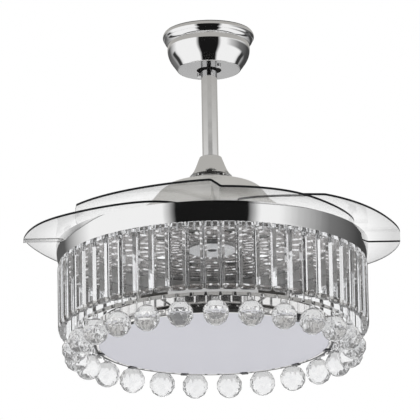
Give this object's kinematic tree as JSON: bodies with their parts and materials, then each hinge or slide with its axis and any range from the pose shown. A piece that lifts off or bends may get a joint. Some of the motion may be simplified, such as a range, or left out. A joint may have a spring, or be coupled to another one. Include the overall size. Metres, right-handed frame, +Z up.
{
  "type": "ceiling fan with light",
  "caption": "Short ceiling fan with a light: clear blades fold over a polished band hung with clear bars, a mirror tray with a pale cover, and a ring of faceted balls below.",
  "frame": {"origin": "centre of the ceiling plane, where the bracket's strap and the canopy's rim touch the ceiling", "axes": "+Z points up to the ceiling, -Y is the side the picture shows, +X is to its right"},
  "size_m": [0.4988, 0.4988, 0.4554],
  "materials": {
    "ceiling_bracket": "zinc plated steel strip",
    "polished_canopy": "polished chrome",
    "screw_steel": "plated steel",
    "ball_plastic": "dark moulded plastic",
    "polished_rod": "polished chrome tube",
    "polished_cover": "polished chrome",
    "shaft_steel": "turned steel",
    "bearing_steel": "ground steel",
    "stator_iron": "varnished steel laminations",
    "copper_wire": "enamelled copper wire",
    "shell_steel": "zinc plated steel",
    "magnet": "coated magnet",
    "satin_hub": "satin grey paint",
    "plate_metal": "cast aluminium",
    "spring_steel": "blued spring steel",
    "gear_plastic": "natural moulded plastic",
    "arm_metal": "satin zinc casting",
    "clear_acrylic": "clear polished acrylic",
    "light_plate_metal": "white painted steel",
    "polished_band": "polished chrome",
    "pad_rubber": "black rubber",
    "bar_crystal": "clear cut glass with bevelled edges",
    "ball_crystal": "clear cut glass with small facets",
    "mirror_tray": "mirror polished steel",
    "lamp_board": "white lacquered board",
    "driver_case": "white moulded case",
    "opal_cover": "opal acrylic, pale when off",
    "hoop_metal": "plated steel strip and wire"
  },
  "bodies": {
    "ceiling_mount": {"ceiling_bracket": "ceiling_bracket", "canopy": "polished_canopy", "canopy_screws": "screw_steel"},
    "hanging_frame": {"hanger_ball": "ball_plastic", "downrod": "polished_rod", "frame_fasteners": "screw_steel", "coupling_cover": "polished_cover", "motor_shaft": "shaft_steel", "motor_bearings": "bearing_steel", "stator_core": "stator_iron", "stator_windings": "copper_wire", "light_plate": "light_plate_metal", "chrome_band": "polished_band", "band_bumpers": "pad_rubber", "crystal_bars": "bar_crystal", "led_tray": "mirror_tray", "led_board": "lamp_board", "led_driver": "driver_case", "diffuser": "opal_cover", "ball_ring": "hoop_metal"},
    "rotor": {"rotor_shell": "shell_steel", "rotor_magnets": "magnet", "hub_cover": "satin_hub", "blade_plate": "plate_metal", "pivot_screws": "screw_steel", "return_spring": "spring_steel"},
    "sync_gear_body": {"sync_gear": "gear_plastic"},
    "folding_blade_1": {"blade_1": "clear_acrylic", "blade_arm_1": "arm_metal"},
    "folding_blade_2": {"blade_2": "clear_acrylic", "blade_arm_2": "arm_metal"},
    "folding_blade_3": {"blade_3": "clear_acrylic", "blade_arm_3": "arm_metal"},
    "folding_blade_4": {"blade_4": "clear_acrylic", "blade_arm_4": "arm_metal"},
    "pendant_01": {"crystal_ball_01": "ball_crystal"},
    "pendant_02": {"crystal_ball_02": "ball_crystal"},
    "pendant_03": {"crystal_ball_03": "ball_crystal"},
    "pendant_04": {"crystal_ball_04": "ball_crystal"},
    "pendant_05": {"crystal_ball_05": "ball_crystal"},
    "pendant_06": {"crystal_ball_06": "ball_crystal"},
    "pendant_07": {"crystal_ball_07": "ball_crystal"},
    "pendant_08": {"crystal_ball_08": "ball_crystal"},
    "pendant_09": {"crystal_ball_09": "ball_crystal"},
    "pendant_10": {"crystal_ball_10": "ball_crystal"},
    "pendant_11": {"crystal_ball_11": "ball_crystal"},
    "pendant_12": {"crystal_ball_12": "ball_crystal"},
    "pendant_13": {"crystal_ball_13": "ball_crystal"},
    "pendant_14": {"crystal_ball_14": "ball_crystal"},
    "pendant_15": {"crystal_ball_15": "ball_crystal"},
    "pendant_16": {"crystal_ball_16": "ball_crystal"},
    "pendant_17": {"crystal_ball_17": "ball_crystal"},
    "pendant_18": {"crystal_ball_18": "ball_crystal"},
    "pendant_19": {"crystal_ball_19": "ball_crystal"},
    "pendant_20": {"crystal_ball_20": "ball_crystal"},
    "pendant_21": {"crystal_ball_21": "ball_crystal"},
    "pendant_22": {"crystal_ball_22": "ball_crystal"},
    "pendant_23": {"crystal_ball_23": "ball_crystal"},
    "pendant_24": {"crystal_ball_24": "ball_crystal"},
    "pendant_25": {"crystal_ball_25": "ball_crystal"}
  },
  "joints": [
    {"name": "hanger_sway", "type": "hinge", "parent": "ceiling_mount", "child": "hanging_frame", "pos_m": [0, 0, -0.026], "axis": [1, 0, 0], "range_deg": [-10, 10]},
    {"name": "rotor_spin", "type": "hinge", "parent": "hanging_frame", "child": "rotor", "pos_m": [0, 0, -0.245], "axis": [0, 0, 1], "continuous": true},
    {"name": "sync_turn", "type": "hinge", "parent": "rotor", "child": "sync_gear_body", "pos_m": [0, 0, -0.281], "axis": [0, 0, 1], "range_deg": [-32, 1]},
    {"name": "blade_1_fold", "type": "hinge", "parent": "rotor", "child": "folding_blade_1", "pos_m": [0.10937, 0.03554, -0.284], "axis": [0, 0, 1], "range_deg": [0, 150], "stiffness_Nm_per_rad": 0.02, "springref_deg": -34.38},
    {"name": "blade_2_fold", "type": "hinge", "parent": "rotor", "child": "folding_blade_2", "pos_m": [-0.03554, 0.10937, -0.284], "axis": [0, 0, 1], "range_deg": [0, 150]},
    {"name": "blade_3_fold", "type": "hinge", "parent": "rotor", "child": "folding_blade_3", "pos_m": [-0.10937, -0.03554, -0.284], "axis": [0, 0, 1], "range_deg": [0, 150]},
    {"name": "blade_4_fold", "type": "hinge", "parent": "rotor", "child": "folding_blade_4", "pos_m": [0.03554, -0.10937, -0.284], "axis": [0, 0, 1], "range_deg": [0, 150]},
    {"name": "pendant_01_swing", "type": "hinge", "parent": "hanging_frame", "child": "pendant_01", "pos_m": [0.0032, -0.18347, -0.421], "axis": [0.9998, 0.0175, 0], "range_deg": [-20, 20]},
    {"name": "pendant_02_swing", "type": "hinge", "parent": "hanging_frame", "child": "pendant_02", "pos_m": [0.04873, -0.17691, -0.421], "axis": [0.9641, 0.2656, 0], "range_deg": [-20, 20]},
    {"name": "pendant_03_swing", "type": "hinge", "parent": "hanging_frame", "child": "pendant_03", "pos_m": [0.09119, -0.15923, -0.421], "axis": [0.8678, 0.497, 0], "range_deg": [-20, 20]},
    {"name": "pendant_04_swing", "type": "hinge", "parent": "hanging_frame", "child": "pendant_04", "pos_m": [0.12793, -0.13155, -0.421], "axis": [0.7169, 0.6972, 0], "range_deg": [-20, 20]},
    {"name": "pendant_05_swing", "type": "hinge", "parent": "hanging_frame", "child": "pendant_05", "pos_m": [0.15663, -0.09561, -0.421], "axis": [0.521, 0.8536, 0], "range_deg": [-20, 20]},
    {"name": "pendant_06_swing", "type": "hinge", "parent": "hanging_frame", "child": "pendant_06", "pos_m": [0.17548, -0.05365, -0.421], "axis": [0.2924, 0.9563, 0], "range_deg": [-20, 20]},
    {"name": "pendant_07_swing", "type": "hinge", "parent": "hanging_frame", "child": "pendant_07", "pos_m": [0.18331, -0.00832, -0.421], "axis": [0.0454, 0.999, 0], "range_deg": [-20, 20]},
    {"name": "pendant_08_swing", "type": "hinge", "parent": "hanging_frame", "child": "pendant_08", "pos_m": [0.17962, 0.03753, -0.421], "axis": [-0.2045, 0.9789, 0], "range_deg": [-20, 20]},
    {"name": "pendant_09_swing", "type": "hinge", "parent": "hanging_frame", "child": "pendant_09", "pos_m": [0.16465, 0.08102, -0.421], "axis": [-0.4415, 0.8973, 0], "range_deg": [-20, 20]},
    {"name": "pendant_10_swing", "type": "hinge", "parent": "hanging_frame", "child": "pendant_10", "pos_m": [0.13933, 0.11942, -0.421], "axis": [-0.6508, 0.7593, 0], "range_deg": [-20, 20]},
    {"name": "pendant_11_swing", "type": "hinge", "parent": "hanging_frame", "child": "pendant_11", "pos_m": [0.10525, 0.15031, -0.421], "axis": [-0.8192, 0.5736, 0], "range_deg": [-20, 20]},
    {"name": "pendant_12_swing", "type": "hinge", "parent": "hanging_frame", "child": "pendant_12", "pos_m": [0.06456, 0.17177, -0.421], "axis": [-0.9361, 0.3518, 0], "range_deg": [-20, 20]},
    {"name": "pendant_13_swing", "type": "hinge", "parent": "hanging_frame", "child": "pendant_13", "pos_m": [0.01982, 0.18243, -0.421], "axis": [-0.9942, 0.108, 0], "range_deg": [-20, 20]},
    {"name": "pendant_14_swing", "type": "hinge", "parent": "hanging_frame", "child": "pendant_14", "pos_m": [-0.02617, 0.18162, -0.421], "axis": [-0.9898, -0.1426, 0], "range_deg": [-20, 20]},
    {"name": "pendant_15_swing", "type": "hinge", "parent": "hanging_frame", "child": "pendant_15", "pos_m": [-0.07052, 0.16941, -0.421], "axis": [-0.9232, -0.3843, 0], "range_deg": [-20, 20]},
    {"name": "pendant_16_swing", "type": "hinge", "parent": "hanging_frame", "child": "pendant_16", "pos_m": [-0.11043, 0.14655, -0.421], "axis": [-0.7986, -0.6018, 0], "range_deg": [-20, 20]},
    {"name": "pendant_17_swing", "type": "hinge", "parent": "hanging_frame", "child": "pendant_17", "pos_m": [-0.14341, 0.11448, -0.421], "axis": [-0.6239, -0.7815, 0], "range_deg": [-20, 20]},
    {"name": "pendant_18_swing", "type": "hinge", "parent": "hanging_frame", "child": "pendant_18", "pos_m": [-0.16737, 0.07522, -0.421], "axis": [-0.4099, -0.9121, 0], "range_deg": [-20, 20]},
    {"name": "pendant_19_swing", "type": "hinge", "parent": "hanging_frame", "child": "pendant_19", "pos_m": [-0.18082, 0.03123, -0.421], "axis": [-0.1702, -0.9854, 0], "range_deg": [-20, 20]},
    {"name": "pendant_20_swing", "type": "hinge", "parent": "hanging_frame", "child": "pendant_20", "pos_m": [-0.18291, -0.01472, -0.421], "axis": [0.0802, -0.9968, 0], "range_deg": [-20, 20]},
    {"name": "pendant_21_swing", "type": "hinge", "parent": "hanging_frame", "child": "pendant_21", "pos_m": [-0.1735, -0.05974, -0.421], "axis": [0.3256, -0.9455, 0], "range_deg": [-20, 20]},
    {"name": "pendant_22_swing", "type": "hinge", "parent": "hanging_frame", "child": "pendant_22", "pos_m": [-0.15319, -0.10101, -0.421], "axis": [0.5505, -0.8348, 0], "range_deg": [-20, 20]},
    {"name": "pendant_23_swing", "type": "hinge", "parent": "hanging_frame", "child": "pendant_23", "pos_m": [-0.12326, -0.13594, -0.421], "axis": [0.7408, -0.6717, 0], "range_deg": [-20, 20]},
    {"name": "pendant_24_swing", "type": "hinge", "parent": "hanging_frame", "child": "pendant_24", "pos_m": [-0.08558, -0.16232, -0.421], "axis": [0.8846, -0.4664, 0], "range_deg": [-20, 20]},
    {"name": "pendant_25_swing", "type": "hinge", "parent": "hanging_frame", "child": "pendant_25", "pos_m": [-0.04253, -0.1785, -0.421], "axis": [0.9728, -0.2317, 0], "range_deg": [-20, 20]}
  ],
  "couplings": [
    {"joint": "sync_turn", "follows": "blade_1_fold", "ratio": -0.21053},
    {"joint": "blade_2_fold", "follows": "blade_1_fold", "ratio": 1},
    {"joint": "blade_3_fold", "follows": "blade_1_fold", "ratio": 1},
    {"joint": "blade_4_fold", "follows": "blade_1_fold", "ratio": 1}
  ]
}
